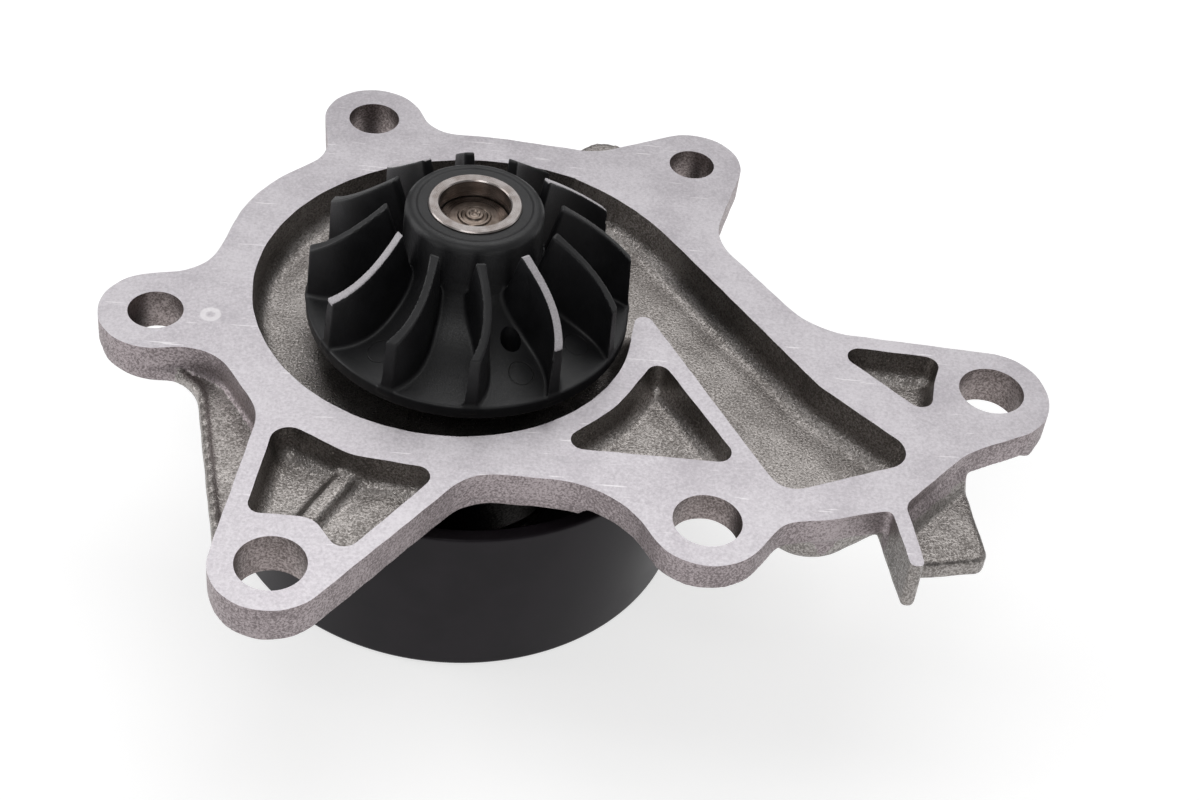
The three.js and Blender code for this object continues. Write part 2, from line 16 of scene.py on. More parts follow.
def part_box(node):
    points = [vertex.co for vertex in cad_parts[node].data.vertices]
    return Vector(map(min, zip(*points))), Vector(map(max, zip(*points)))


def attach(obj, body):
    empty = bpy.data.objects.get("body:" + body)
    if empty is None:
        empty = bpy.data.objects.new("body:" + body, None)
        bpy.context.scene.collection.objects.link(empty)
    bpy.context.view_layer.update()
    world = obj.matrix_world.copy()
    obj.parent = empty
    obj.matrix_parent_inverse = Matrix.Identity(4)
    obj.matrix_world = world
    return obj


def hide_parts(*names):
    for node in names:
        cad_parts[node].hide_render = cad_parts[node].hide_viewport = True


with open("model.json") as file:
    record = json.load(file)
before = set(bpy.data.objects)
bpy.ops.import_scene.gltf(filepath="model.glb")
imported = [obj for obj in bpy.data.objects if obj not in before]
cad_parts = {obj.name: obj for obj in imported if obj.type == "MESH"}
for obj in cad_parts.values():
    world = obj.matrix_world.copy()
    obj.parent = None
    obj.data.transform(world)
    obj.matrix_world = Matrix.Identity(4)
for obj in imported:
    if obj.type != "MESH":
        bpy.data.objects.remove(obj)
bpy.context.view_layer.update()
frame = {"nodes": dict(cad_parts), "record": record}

MM = 0.001

# ---------- driving dimensions, from the frame ----------
MOUNTS = {m["name"]: m["pos_m"] for m in frame["record"]["mounts"]}
FACE = MOUNTS["mounting_face"][2] / MM


def top(node):
    """Greatest height of a CAD node, in millimetres."""
    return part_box(node)[1].z / MM


def bottom(node):
    """Least height of a CAD node, in millimetres."""
    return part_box(node)[0].z / MM


def radius(node):
    """Outer radius of a CAD node that is round about the pump's axis, in millimetres."""
    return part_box(node)[1].x / MM


# ---------- fields ----------
def round_or(a, b, r):
    """Union of two distances, with a fillet of radius r."""
    u, v = np.maximum(r - a, 0), np.maximum(r - b, 0)
    return np.maximum(r, np.minimum(a, b)) - np.hypot(u, v)


def round_and(a, b, r):
    """Intersection of two distances, with a rounded edge of radius r."""
    u, v = np.maximum(r + a, 0), np.maximum(r + b, 0)
    return np.minimum(-r, np.maximum(a, b)) + np.hypot(u, v)


def ease(t):
    """Smooth step from 0 at t = 0 to 1 at t = 1."""
    t = np.clip(t, 0, 1)
    return t * t * (3 - 2 * t)


def arc_points(x, y, r, start, end, step=math.radians(6)):
    """Points along an arc, both ends included."""
    count = max(2, math.ceil(abs(end - start) / step) + 1)
    angles = np.linspace(start, end, count)
    return [(x + r * math.cos(a), y + r * math.sin(a)) for a in angles]


def outline_round(circles):
    """Outline, anticlockwise, round circles (x, y, radius); a negative radius is a hollow."""
    count = len(circles)
    headings = []
    for i, (x, y, r) in enumerate(circles):
        nx, ny, nr = circles[(i + 1) % count]
        distance = math.hypot(nx - x, ny - y)
        headings.append(math.atan2(ny - y, nx - x) + math.asin((r - nr) / distance))
    points = []
    for i, (x, y, r) in enumerate(circles):
        side = -math.pi / 2 if r > 0 else math.pi / 2
        start, end = headings[i - 1] + side, headings[i] + side
        turn = (end - start) % (2 * math.pi) if r > 0 else -((start - end) % (2 * math.pi))
        points += arc_points(x, y, abs(r), start, start + turn)
    return points


def rounded_polygon(corners):
    """Outline of a polygon whose corners (x, y, radius) are rounded."""
    points = []
    for i, (x, y, r) in enumerate(corners):
        corner = Vector((x, y))
        before = (Vector(corners[i - 1][:2]) - corner).normalized()
        after = (Vector(corners[(i + 1) % len(corners)][:2]) - corner).normalized()
        half = before.angle(after) / 2
        centre = corner + (before + after).normalized() * (r / math.sin(half))
        start = corner + before * (r / math.tan(half)) - centre
        end = corner + after * (r / math.tan(half)) - centre
        first = math.atan2(start.y, start.x)
        turn = math.atan2(end.y, end.x) - first
        turn = (turn + math.pi) % (2 * math.pi) - math.pi
        points += arc_points(centre.x, centre.y, r, first, first + turn)
    return points


class Plan:
    """Signed distance from a closed outline in a plane, sampled on a grid; negative inside."""

    STEP = 0.3
    MARGIN = 9

    def __init__(self, points):
        points = np.array(points, float)
        self.low = points.min(0) - self.MARGIN
        size = points.max(0) + self.MARGIN - self.low
        nx, ny = (np.ceil(size / self.STEP).astype(int) + 1).tolist()
        x = self.low[0] + self.STEP * np.arange(nx)[:, None]
        y = self.low[1] + self.STEP * np.arange(ny)[None, :]
        nearest = np.full((nx, ny), 1e9)
        inside = np.zeros((nx, ny), bool)
        for (ax, ay), (bx, by) in zip(points, np.roll(points, -1, 0)):
            dx, dy = bx - ax, by - ay
            length2 = dx * dx + dy * dy
            if length2 < 1e-12:
                continue
            t = np.clip(((x - ax) * dx + (y - ay) * dy) / length2, 0, 1)
            away = (x - ax - t * dx) ** 2 + (y - ay - t * dy) ** 2
            np.minimum(nearest, away, out=nearest)
            if ay != by:
                crossed = ((y < ay) != (y < by)) & (x < ax + (y - ay) / dy * dx)
                inside ^= crossed
        self.values = np.sqrt(nearest) * np.where(inside, -1, 1)

    def at(self, x, y):
        """The distance at each place, from the four grid values round it."""
        nx, ny = self.values.shape
        u = np.clip((x - self.low[0]) / self.STEP, 0, nx - 1.001)
        v = np.clip((y - self.low[1]) / self.STEP, 0, ny - 1.001)
        i, j = u.astype(int), v.astype(int)
        u, v = u - i, v - j
        a, b = self.values[i, j], self.values[i + 1, j]
        c, d = self.values[i, j + 1], self.values[i + 1, j + 1]
        return (a * (1 - u) + b * u) * (1 - v) + (c * (1 - u) + d * u) * v


def new_piece(name, vertices, faces):
    """A mesh object in metres from vertices in millimetres."""
    mesh = bpy.data.meshes.new(name)
    mesh.from_pydata(np.asarray(vertices) * MM, [], faces)
    mesh.validate()
    piece = bpy.data.objects.new(name, mesh)
    bpy.context.scene.collection.objects.link(piece)
    return piece


def surface(name, field, low, high, cell):
    """A quad mesh of the surface where field(x, y, z) is zero: surface nets, then Newton steps."""
    x, y, z = (np.arange(a, b + cell, cell) for a, b in zip(low, high))
    flat_x, flat_y = np.meshgrid(x, y, indexing="ij")
    volume = np.stack([field(flat_x, flat_y, np.full_like(flat_x, h)) for h in z], axis=2)
    inside = volume < 0
    corners = [(i, j, k) for i in (0, 1) for j in (0, 1) for k in (0, 1)]
    nx, ny, nz = (n - 1 for n in volume.shape)
    held = sum(inside[i : i + nx, j : j + ny, k : k + nz].astype(np.int8) for i, j, k in corners)
    cells = np.argwhere((held > 0) & (held < 8))
    number = np.full((nx, ny, nz), -1, np.int32)
    number[tuple(cells.T)] = np.arange(len(cells))
    total, count = np.zeros((len(cells), 3)), np.zeros((len(cells), 1))
    for a in corners:
        for axis in range(3):
            if a[axis]:
                continue
            b = np.add(a, np.eye(3, dtype=int)[axis])
            va = volume[tuple((cells + a).T)]
            vb = volume[tuple((cells + b).T)]
            crosses = (va < 0) != (vb < 0)
            share = np.where(crosses, va / np.where(crosses, va - vb, 1), 0)
            place = np.array(a) + share[:, None] * np.eye(3)[axis]
            total += np.where(crosses[:, None], place, 0)
            count += crosses[:, None]
    points = (cells + total / count) * cell + np.array([x[0], y[0], z[0]])

    quads = []
    for axis in range(3):
        u, v = [a for a in range(3) if a != axis]
        if axis == 1:
            u, v = v, u
        lower = [slice(1, -1)] * 3
        upper = list(lower)
        lower[axis], upper[axis] = slice(0, -1), slice(1, None)
        change = inside[tuple(lower)].astype(np.int8) - inside[tuple(upper)]
        for sign in (1, -1):
            edge = np.argwhere(change == sign) + 1
            edge[:, axis] -= 1
            ring = []
            for du, dv in ((0, 0), (1, 0), (1, 1), (0, 1)):
                around = edge.copy()
                around[:, u] -= 1 - du
                around[:, v] -= 1 - dv
                ring.append(number[tuple(around.T)])
            quads.append(np.stack(ring[::sign], axis=1))
    quads = np.concatenate(quads)

    nudge = cell / 4
    for _ in range(3):
        here = field(*points.T)
        slope = np.stack(
            [
                (field(*(points + step).T) - field(*(points - step).T)) / (2 * nudge)
                for step in np.eye(3) * nudge
            ],
            axis=1,
        )
        steepness = np.maximum((slope**2).sum(1), 0.25)
        move = -(here / steepness)[:, None] * slope
        reach = np.linalg.norm(move, axis=1, keepdims=True)
        points += move * np.minimum(1, 0.4 * cell / np.maximum(reach, 1e-9))
    return new_piece(name, points, quads.tolist())


# ---------- exact solids ----------
def lathe(name, profile, segments=128, centre=(0, 0)):
    """A solid turned about Z from a closed profile of (radius, height), anticlockwise."""
    vertices, rings = [], []
    angles = 2 * math.pi * np.arange(segments) / segments
    for r, h in profile:
        if r == 0:
            rings.append([len(vertices)] * segments)
            vertices.append((centre[0], centre[1], h))
            continue
        rings.append(list(range(len(vertices), len(vertices) + segments)))
        vertices += [(centre[0] + r * math.cos(a), centre[1] + r * math.sin(a), h) for a in angles]
    faces = []
    for a, b in zip(rings, rings[1:] + rings[:1]):
        if a[0] == a[1] and b[0] == b[1]:
            continue
        for i in range(segments):
            j = (i + 1) % segments
            faces.append(list(dict.fromkeys((a[i], a[j], b[j], b[i]))))
    return new_piece(name, vertices, faces)


def drill(x, y, r, low, high, segments=96):
    """An upright cylinder."""
    return lathe("drill", [(0, low), (r, low), (r, high), (0, high)], segments, (x, y))


def block(low, high):
    """A box between two opposite corners."""
    xs, ys, zs = zip(low, high)
    corners = [(x, y, z) for x in xs for y in ys for z in zs]
    faces = [(0, 1, 3, 2), (4, 6, 7, 5), (0, 4, 5, 1), (2, 3, 7, 6), (0, 2, 6, 4), (1, 5, 7, 3)]
    return new_piece("block", corners, faces)


def cut(piece, cutters):
    """Cuts exact solids out of a piece and removes them."""
    for cutter in cutters:
        modifier = piece.modifiers.new("cut", "BOOLEAN")
        modifier.operation = "DIFFERENCE"
        modifier.solver = "MANIFOLD"
        modifier.object = cutter
    depsgraph = bpy.context.evaluated_depsgraph_get()
    mesh = bpy.data.meshes.new_from_object(piece.evaluated_get(depsgraph))
    piece.modifiers.clear()
    piece.data = mesh
    for cutter in cutters:
        bpy.data.objects.remove(cutter)


def smooth(piece, angle=32):
    """Smooth shading, with edges sharper than the angle left crisp."""
    piece.data.shade_smooth()
    piece.data.set_sharp_from_angle(angle=math.radians(angle))


# ---------- housing ----------
# Each bolt hole, a to f, is x, y and diameter.
BOLT_HOLES = [
    (-21.6, 54.7, 10),
    (-56, -8.5, 10),
    (42.8, 48.1, 9),
    (43.2, -51.3, 12),
    (-28.6, -68.1, 12),
    (96.7, -13, 12),
]
# The flange's edge, the shelf and the volute's back run round circles x, y and radius.
FLANGE_EDGE = [
    (-21.6, 54.7, 9.8),
    (-38.2, 44.4, -8.1),
    (-13.2, 12, 32.6),
    (-57, 12.5, -10.4),
    (-56, -8.5, 10.3),
    (-49.6, -28.1, -10.2),
    (-45.4, -35.3, -10.5),
    (-28.6, -68.1, 10.3),
    (7.6, -54.1, -10.1),
    (16.1, -63.2, -19),
    (43.2, -51.3, 10.5),
    (59.8, -55.7, -5.7),
    (73.6, -40.4, 5.6),
    (104, -47.6, -22),
    (96, -14.4, 11.2),
    (96.7, -12.8, 10.2),
    (73.3, 15.6, -16.3),
    (60.2, 27.4, -12.6),
    (42.8, 48.1, 9.9),
    (21.4, 61.6, -11.8),
    (0, 0, 51.7),
    (-4.5, 59.3, -7.7),
]
# The other outlines are polygons, each corner with its radius.
CHANNEL = [
    (16.6, 41.7, 1),
    (14, -9, 2),
    (29.8, -8.9, 0.3),
    (31.9, 3.7, 1.7),
    (56.5, -43.5, 4.6),
    (82.6, -32.4, 4.4),
    (64.6, -15.2, 12),
    (30.9, 34.1, 50),
]
POCKET_BY_E = [
    (-31.3, -34.3, 3.2),
    (-34.2, -57.1, 2.4),
    (-23, -57.1, 5),
    (-17.4, -65.2, 2.6),
    (-2, -43.9, 2.6),
    (-17.8, -41.9, 8),
]
POCKET_BY_TONGUE = [(35.3, -10.8, 2.2), (27.6, -25.2, 26), (16.2, -36.2, 2.4), (49.8, -37, 2.6)]
POCKET_BY_F = [(66.6, -3.6, 2.4), (84.6, -21.4, 2.4), (86.2, -12, 7), (88.2, -5.1, 2.6)]

SHELF = [(-54, -10, 8.5), (-54.7, -27.1, -8.6), (-31.4, -60, 7.6), (-28, -30, 9)]
VOLUTE_BACK = [(0, 4.5, 44), (38, -56, -18), (62.5, -38.8, 9), (71.5, -29.5, 11.5)]

THIN_AREA = [(22, -42, 1), (30, -70, 1), (112, -40, 1), (112, -22, 1), (88, -22, 8), (70, -40, 4)]
FIN = [(74, -38, 1), (77.5, -58.4, 1), (80, -58.4, 1), (76.7, -36, 1)]
TAB = [(77, -34, 1), (78.4, -52, 1), (93.6, -49, 2.4), (90.4, -26, 1)]

# Depths are below the machined face.
FLANGE_DEPTH = 7.8
THIN_DEPTH = 5.8
CAVITY_DEPTH = 8
BACK_DEPTH = 12.4
FIN_DEPTH = 10.6
POCKET_DEPTH = 6
PARTING_DEPTH = 5.7
PARTING_STEP = 0.35
SHELF_DEPTH = 6.1
SHELF_RIM = 0.7
BACK_BOSS = (26.2, 55.4, 6.3)
BACK_BOSS_DEPTH = 20
TAB_DEPTH = 11
CROSS_RIB_AT = (-19.6, -44.6)
CROSS_RIB_NORMAL = (0.89, -0.456)
CROSS_RIB_DEPTH = 4.1

TOWER_R = 20.5
TOWER_END = bottom("bearing_outer_ring")
RIB_ANGLES = (45, 135, 225, 315)
RIB_HALF = 2
RIB_REACH = 39
RIB_FOOT = 18
RING_TOP = top("bearing_outer_ring")
SEAL_SEAT = bottom("seal_case")
SEAL_R = 15.2
SHOULDER_R = 13.3
BORE_FIT = 0.06
WEEP_R = 1.5


def spiral():
    """The cavity's wall, which widens clockwise from the tongue."""
    turns = np.radians(np.arange(12, 297, 2))
    reach = 31.5 + 16.2 * turns / (2 * math.pi) - 1.5 * np.exp(-turns / 0.6)
    return list(zip(reach * np.cos(-turns), reach * np.sin(-turns)))


def housing_plans():
    """The housing's outlines in plan, each as a signed distance."""
    plans = {
        "edge": outline_round(FLANGE_EDGE),
        "shelf": outline_round(SHELF),
        "back": outline_round(VOLUTE_BACK),
        "spiral": spiral(),
    }
    for name, corners in (
        ("channel", CHANNEL),
        ("pocket_e", POCKET_BY_E),
        ("pocket_tongue", POCKET_BY_TONGUE),
        ("pocket_f", POCKET_BY_F),
        ("thin", THIN_AREA),
        ("fin", FIN),
        ("tab", TAB),
    ):
        plans[name] = rounded_polygon(corners)
    return {name: Plan(points) for name, points in plans.items()}


def pocket(plan, depth, floor, draft=0.1, fillet=2.4):
    """A recess with drafted walls and a fillet round its floor."""
    return round_and(plan + draft * depth, depth - floor, fillet)


def casting(plans, x, y, z):
    """Distance from the housing's casting, before anything is machined."""
    depth = FACE - z
    p = {name: plan.at(x, y) for name, plan in plans.items()}

    wall = p["edge"] + PARTING_STEP * ease((depth - PARTING_DEPTH) / 0.4) + 0.012 * depth
    floor = THIN_DEPTH + (FLANGE_DEPTH - THIN_DEPTH) * ease(p["thin"] / 1.5 + 0.5)
    f_pad = np.hypot(x - 96.7, y + 13) - 9.4
    floor = np.maximum(floor, np.where(f_pad < 0, FLANGE_DEPTH, 0))
    body = round_and(wall, depth - floor, 0.5)

    rim = ease((p["shelf"] + 2.2) / 1.4)
    shelf_top = SHELF_DEPTH - SHELF_RIM * rim
    shelf = round_and(round_and(p["shelf"], shelf_top - depth, 0.8), depth - FLANGE_DEPTH, 0.6)
    body = round_or(body, shelf, 1.6)

    back = round_and(p["back"] + 0.08 * (depth - FLANGE_DEPTH), depth - BACK_DEPTH, 2)
    body = round_or(body, back, 2)
    under_pockets = np.minimum(p["pocket_e"], p["pocket_f"]) - 1
    body = round_or(body, round_and(under_pockets, depth - FLANGE_DEPTH - 1.2, 1), 1)

    x0, y0, r0 = BACK_BOSS
    boss = np.hypot(x - x0, y - y0) - r0 + 0.02 * (depth - FLANGE_DEPTH)
    boss = round_and(boss, depth - BACK_BOSS_DEPTH, 1.2)
    web = round_and(np.abs(x - 25) - 5, np.abs(y - 48) - 8, 1)
    web = round_and(web, depth - BACK_BOSS_DEPTH + 2, 1.5)
    below_flange = 6.5 - depth
    body = round_or(body, np.maximum(np.minimum(boss, web), below_flange), 1.8)

    fin = round_and(p["fin"], depth - FIN_DEPTH, 1.1)
    body = round_or(body, fin, 1.2)
    ramp = 3.2 * ease(1 - p["edge"] / 2.6)
    tab = round_and(round_and(p["tab"], (7 - ramp) - depth, 0.9), depth - TAB_DEPTH, 0.9)
    body = round_or(body, tab, 1.2)

    r = np.hypot(x, y)
    tower = round_and(r - TOWER_R - 0.03 * (z - TOWER_END), TOWER_END - z, 0.6)
    body = round_or(body, np.maximum(tower, CAVITY_DEPTH - depth), 2.6)
    for angle in RIB_ANGLES:
        c, s = math.cos(math.radians(angle)), math.sin(math.radians(angle))
        along, across = x * c + y * s, np.abs(y * c - x * s)
        slant = Vector((RIB_REACH - TOWER_R + 2, FACE - BACK_DEPTH - 5.5 - RIB_FOOT)).normalized()
        under = (along - TOWER_R + 2) * slant.y - (z - RIB_FOOT) * slant.x
        rib = round_and(across - RIB_HALF + 0.02 * (depth - BACK_DEPTH), under, 1.2)
        rib = round_and(rib, along - RIB_REACH, 1.5)
        rib = np.maximum(np.maximum(rib, BACK_DEPTH - 1 - depth), TOWER_R - 3.5 - along)
        body = round_or(body, rib, 1.4)

    volute = np.minimum(p["spiral"], p["channel"])
    body = np.maximum(body, -pocket(volute, depth, CAVITY_DEPTH, 0.06, 3.2))
    for name in ("pocket_e", "pocket_tongue", "pocket_f"):
        body = np.maximum(body, -pocket(p[name], depth, POCKET_DEPTH, 0.14))
    # The rib across the pocket by hole e.
    across = (x - CROSS_RIB_AT[0]) * CROSS_RIB_NORMAL[0] + (y - CROSS_RIB_AT[1]) * CROSS_RIB_NORMAL[1]
    ridge = round_and(np.abs(across) - 1.5 - 0.3 * (depth - 4), CROSS_RIB_DEPTH - depth, 0.8)
    ridge = np.maximum(np.maximum(ridge, p["pocket_e"] - 1), depth - POCKET_DEPTH - 1)
    body = round_or(body, ridge, 1.3)

    # A cast skin is never quite flat.
    uneven = np.sin(0.83 * x + 1.1 * np.sin(0.31 * y)) * np.sin(0.71 * y + 0.4 * z + np.sin(0.27 * x))
    return np.maximum(body + 0.05 * uneven, -depth - 1)


def housing():
    """The casting, milled on its face, drilled and bored; also the plans it was made from."""
    plans = housing_plans()
    piece = surface(
        "housing_casting",
        lambda x, y, z: casting(plans, x, y, z),
        (-68.5, -80.5, TOWER_END - 1),
        (109.5, 67.5, FACE + 2),
        HOUSING_CELL,
    )
    cutters = [block((-90, -90, FACE), (120, 90, FACE + 5))]
    cutters += [drill(x, y, d / 2, FACE - 25, FACE + 1) for x, y, d in BOLT_HOLES]
    ring_r = radius("bearing_outer_ring")
    bores = [
        (0, TOWER_END - 3),
        (ring_r + 0.6, TOWER_END - 3),
        (ring_r + 0.6, TOWER_END),
        (ring_r + BORE_FIT, TOWER_END + 0.6),
        (ring_r + BORE_FIT, RING_TOP),
        (SHOULDER_R, RING_TOP),
        (SHOULDER_R, SEAL_SEAT - BORE_FIT),
        (SEAL_R + BORE_FIT, SEAL_SEAT - BORE_FIT),
        (SEAL_R + BORE_FIT, FACE - 4),
        (0, FACE - 4),
    ]
    cutters.append(lathe("bores", bores))
    weep = drill(0, 0, WEEP_R, -40, 40, 32)
    weep.data.transform(Matrix.Rotation(math.pi / 2, 4, "X"))
    weep.data.transform(Matrix.Translation((0, 0, (RING_TOP + 1.8) * MM)))
    cutters.append(weep)
    cut(piece, cutters)
    smooth(piece)
    return piece, plans


# ---------- impeller ----------
BLADES = 12
BLADE_PHASE = 4
# A blade's corners are radius and height over the machined face.
BLADE_OUTER = (29.1, 12)
BLADE_TIP = (29.55, 1.5)
BLADE_INNER = (15.6, 23)
BLADE_ROOT = (12.9, 13)
BLADE_SWEEP = 2.2
BLADE_BOW = 16
BLADE_HALF = 0.78
WITNESS_EVERY = 3  # one blade in three has a flat, bare top
EJECTOR_AT = 23.6
EJECTOR_R = 2.2
EJECTOR_AZIMUTHS = (-64, -32, -129)
BALANCE_HOLE = (17.8, -63, 1.9)  # distance from the axis, azimuth, radius
IMPELLER_R = 29.7
HUB_R = 12.5


def rounded_path(points, times=2):
    """The same open path with its corners cut, several times over."""
    for _ in range(times):
        softer = [points[0]]
        for (ax, ay), (bx, by) in zip(points, points[1:]):
            softer += [(0.75 * ax + 0.25 * bx, 0.75 * ay + 0.25 * by)]
            softer += [(0.25 * ax + 0.75 * bx, 0.25 * ay + 0.75 * by)]
        points = softer + [points[-1]]
    return points


def impeller_section():
    """Half section of disc and hub as (radius, height over the machined face)."""
    under = [(6, 3.7), (13.7, 3.7), (13.7, -0.6), (17, -1.2), (29.5, -1.2), (29.7, -1)]
    passage = [(29.7, 1.3), (29.5, 1.5), (26, 2.1), (22, 3.4), (18, 5.6), (15, 8.3)]
    passage += [(12.95, 11.5), (HUB_R + 0.15, 15)]
    hub = [(HUB_R, 21.7)] + arc_points(HUB_R - 1.7, 21.7, 1.7, 0.1, math.pi / 2)
    rim = [(10.5, 23.4), (10.3, 23.15), (6, 23.15)]
    return under + rounded_path(passage) + hub + rim


def blade_azimuth(r):
    """How far a blade's middle line has turned at radius r."""
    share = (BLADE_OUTER[0] - r) / (BLADE_OUTER[0] - BLADE_INNER[0])
    return np.radians(BLADE_SWEEP * share + BLADE_BOW * share * (1 - share))


def blade_stretch(r):
    """How much longer a blade's thickness is along the circle than across the blade."""
    lean = r * (blade_azimuth(r + 0.1) - blade_azimuth(r - 0.1)) / 0.2
    return np.sqrt(1 + lean**2)


def beyond(r, h, start, end):
    """Distance to the right of the line from start to end, in the (radius, height) plane."""
    dr, dh = end[0] - start[0], end[1] - start[1]
    return ((r - start[0]) * dh - (h - start[1]) * dr) / math.hypot(dr, dh)


def blade_top(r, h):
    """Distance over a blade's slanting top edge."""
    return beyond(r, h, BLADE_OUTER, BLADE_INNER)


def moulding(section, x, y, z):
    """Distance from the impeller."""
    r, h = np.hypot(x, y), z - FACE
    body = section.at(r, h)
    pitch = 2 * math.pi / BLADES
    turn = np.arctan2(y, x) - math.radians(BLADE_PHASE) - blade_azimuth(r)
    turn = (turn + pitch / 2) % pitch - pitch / 2
    half = BLADE_HALF + 0.012 * np.maximum(14 - h, 0) + 0.25 * ease((18 - r) / 4)
    blade = np.abs(turn) * r / blade_stretch(r) - half
    blade = round_and(blade, blade_top(r, h), 0.22)
    blade = round_and(blade, beyond(r, h, BLADE_INNER, BLADE_ROOT), 0.6)
    blade = round_and(blade, beyond(r, h, BLADE_TIP, BLADE_OUTER), 0.15)
    blade = np.maximum(blade, 0.5 - h)
    return round_or(body, np.maximum(blade, 13 - r), 0.7)


def impeller(materials):
    """The moulding, bored for its bush, with one balance hole."""
    section = Plan(impeller_section())
    reach = IMPELLER_R + 0.8
    piece = surface(
        "impeller_moulding",
        lambda x, y, z: moulding(section, x, y, z),
        (-reach, -reach, FACE - 2),
        (reach, reach, FACE + 23.6),
        IMPELLER_CELL,
    )
    at, azimuth, r = BALANCE_HOLE
    azimuth = math.radians(azimuth)
    hole = drill(at * math.cos(azimuth), at * math.sin(azimuth), r, FACE - 3, FACE + 12, 48)
    cut(piece, [drill(0, 0, radius("impeller_bush") + 0.05, FACE - 3, FACE + 25), hole])
    measure(piece, "bare_width", bare_width)
    piece.data.materials.clear()
    piece.data.materials.append(materials["impeller"])
    smooth(piece, 40)
    return piece


def bare_width(x, y, z):
    """How far a point lies inside the flat top of a witness blade."""
    r, h = np.hypot(x, y), z - FACE
    turn = np.arctan2(y, x) - blade_azimuth(r) - math.radians(BLADE_PHASE)
    blade = np.round(turn * BLADES / (2 * math.pi))
    across = np.abs(turn - blade * 2 * math.pi / BLADES) * r
    width = BLADE_HALF - across / blade_stretch(r)
    width = np.minimum(width, 0.5 - np.abs(blade_top(r, h)))
    width = np.minimum(width, np.minimum(BLADE_OUTER[0] - r, r - BLADE_INNER[0]) + 0.1)
    return np.where(blade % WITNESS_EVERY == 1, width, -1)


def measure(piece, name, value):
    """Stores value(x, y, z), in millimetres, at each vertex."""
    mesh = piece.data
    places = np.empty(len(mesh.vertices) * 3)
    mesh.vertices.foreach_get("co", places)
    layer = mesh.attributes.new(name, "FLOAT", "POINT")
    layer.data.foreach_set("value", value(*places.reshape(-1, 3).T / MM).astype(np.float32))


def paint(piece, materials, choose):
    """Gives each face the material whose number choose(x, y, z, normal_z) returns."""
    mesh = piece.data
    mesh.materials.clear()
    for material in materials:
        mesh.materials.append(material)
    centres = np.empty(len(mesh.polygons) * 3)
    normals = np.empty(len(mesh.polygons) * 3)
    mesh.polygons.foreach_get("center", centres)
    mesh.polygons.foreach_get("normal", normals)
    x, y, z = centres.reshape(-1, 3).T / MM
    chosen = choose(x, y, z, normals.reshape(-1, 3)[:, 2])
    mesh.polygons.foreach_set("material_index", chosen.astype(np.int32))


# ---------- turned pieces ----------
SHAFT_R = 7.95
SHAFT_TIP_R = 6.35
SHAFT_STEP = FACE + 3.2
BALL_PITCH_R = 10.7
GROOVE_R = 3.2
ROWS = [TOWER_END + 6.5, RING_TOP - 6.5]


def bush():
    """Steel bush moulded into the impeller's hub."""
    r, low, high = radius("impeller_bush"), bottom("impeller_bush"), top("impeller_bush")
    bore = SHAFT_TIP_R + 0.1
    return lathe(
        "bush",
        [
            (bore, low),
            (r, low),
            (r, high - 0.2),
            (r - 0.2, high),
            (bore + 0.2, high),
            (bore, high - 0.2),
        ],
    )


def groove(height, wall):
    """Ball groove in a straight wall, bottom to top."""
    half = math.acos((BALL_PITCH_R - wall) / GROOVE_R)
    return arc_points(BALL_PITCH_R, height, GROOVE_R, math.pi + half, math.pi - half, 0.1)


def shaft():
    """Shaft with its two ball grooves and a turned centre mark in its free end."""
    end = top("shaft")
    return lathe(
        "shaft_and_race",
        [
            (0, 0.9),
            (1.1, 0.5),
            (1.5, 0),
            (SHAFT_R - 0.5, 0),
            (SHAFT_R, 0.5),
            *groove(ROWS[0], SHAFT_R),
            *groove(ROWS[1], SHAFT_R),
            (SHAFT_R, SHAFT_STEP - 0.4),
            (SHAFT_R - 0.4, SHAFT_STEP),
            (SHAFT_TIP_R, SHAFT_STEP),
            (SHAFT_TIP_R, end - 1.7),
            (SHAFT_TIP_R - 0.15, end - 1.25),
            (SHAFT_TIP_R - 0.5, end - 1.1),
            (3.1, end - 0.75),
            (2.85, end - 0.45),
            (2.5, end - 0.4),
            (2.2, end - 0.6),
            (1.75, end - 0.5),
            (1.5, end - 0.15),
            (1.1, end - 0.1),
            (0.8, end - 0.35),
            (0.4, end - 0.3),
            (0, end),
        ],
    )


WEB_HOLES_AT = 29
WEB_HOLE_R = 6
WEB_HOLE_ANGLES = (45, 135, 225, 315)


def pulley():
    """Pressed belt pulley: smooth rim, flat web with four holes."""
    r, width = radius("pulley"), top("pulley")
    inner, web, corner, bore = r - 2.8, 3, 1.2, 14.1
    half_turn = math.pi / 2
    piece = lathe(
        "pulley_pressing",
        [
            (bore, 0),
            *arc_points(r - corner, corner, corner, -half_turn, 0),
            (r, width - 1),
            *arc_points(r - 0.5, width - 0.5, 0.5, 0, half_turn, 0.3),
            *arc_points(inner + 0.5, width - 0.5, 0.5, half_turn, 2 * half_turn, 0.3),
            *arc_points(inner - 2.5, web + 2.5, 2.5, 0, -half_turn),
            (bore, web),
        ],
        192,
    )
    holes = []
    for angle in WEB_HOLE_ANGLES:
        a = math.radians(angle)
        x, y = WEB_HOLES_AT * math.cos(a), WEB_HOLES_AT * math.sin(a)
        holes.append(drill(x, y, WEB_HOLE_R, -1, web + 1, 64))
    cut(piece, holes)
    return piece


